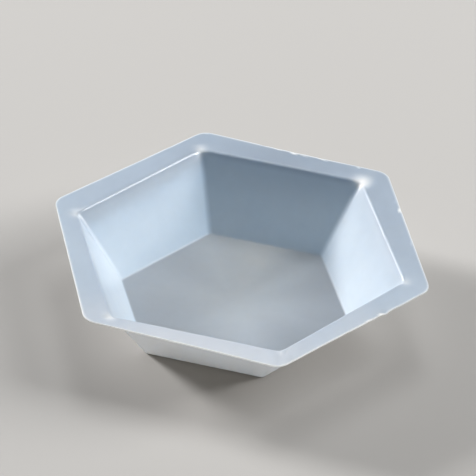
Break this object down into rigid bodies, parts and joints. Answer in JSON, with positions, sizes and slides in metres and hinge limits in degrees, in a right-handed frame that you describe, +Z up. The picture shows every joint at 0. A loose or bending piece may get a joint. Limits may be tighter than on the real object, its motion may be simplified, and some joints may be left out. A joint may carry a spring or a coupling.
{
  "type": "weighing boat",
  "caption": "Shallow six-sided tray of thin milky plastic with a flat flange, sloping walls and a flat floor, for weighing powders and liquids.",
  "frame": {"origin": "centre of the floor's underside, on the surface that the boat stands on", "axes": "+Z up, out of the recess; +X along the length, from end corner to end corner; +Y across the straight sides"},
  "size_m": [0.0918, 0.0798, 0.0166],
  "materials": {
    "boat": "milky translucent polystyrene sheet with a soft gloss"
  },
  "bodies": {
    "root": {"boat": "boat"}
  },
  "joints": []
}
